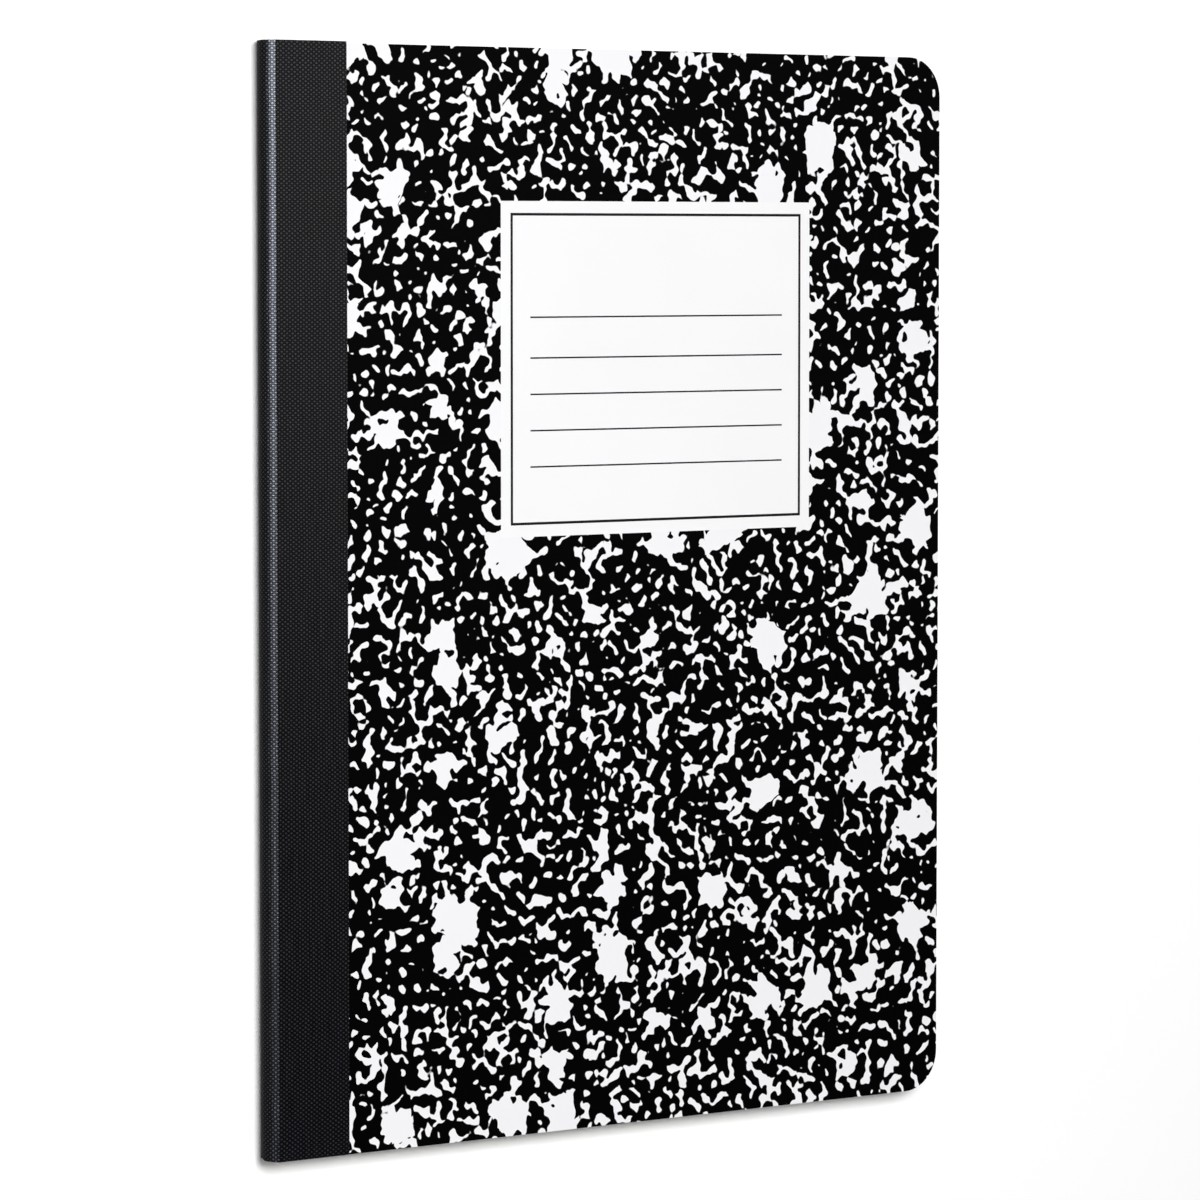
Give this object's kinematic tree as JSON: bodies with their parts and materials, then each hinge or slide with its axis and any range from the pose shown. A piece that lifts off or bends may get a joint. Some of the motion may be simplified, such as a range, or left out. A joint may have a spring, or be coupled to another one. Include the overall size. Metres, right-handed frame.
{
  "type": "composition notebook",
  "caption": "Sewn composition notebook with pasteboard covers in a black and white marbled print, a cloth tape spine and a framed label.",
  "frame": {"origin": "middle of the book's outline, on the surface that the closed book lies on", "axes": "+X from the spine to the fore-edge, +Y from the tail to the head, +Z from the back cover to the front cover"},
  "size_m": [0.1906, 0.2476, 0.0074],
  "materials": {
    "writing_paper": "uncoated white writing paper",
    "thread": "white cotton thread",
    "cloth_tape": "black woven book cloth",
    "cover_board": "pasteboard printed black, low sheen",
    "white_print": "white of the printed cover paper, low sheen",
    "black_print": "black ink"
  },
  "bodies": {
    "pages": {"text_block": "writing_paper", "sewing_thread": "thread", "spine_tape": "cloth_tape"},
    "front": {"front_cover": "cover_board", "front_tape": "cloth_tape", "front_marbling": "white_print", "label_panel": "white_print", "label_frame": "black_print", "label_rules": "black_print"},
    "back": {"back_cover": "cover_board", "back_tape": "cloth_tape", "back_marbling": "white_print"}
  },
  "joints": [
    {"name": "front_cover_hinge", "type": "hinge", "parent": "pages", "child": "front", "pos_m": [-0.09375, 0, 0.00745], "axis": [0, -1, 0], "range_deg": [0, 180]},
    {"name": "back_cover_hinge", "type": "hinge", "parent": "pages", "child": "back", "pos_m": [-0.09375, 0, -0.00005], "axis": [0, 1, 0], "range_deg": [0, 180]}
  ]
}
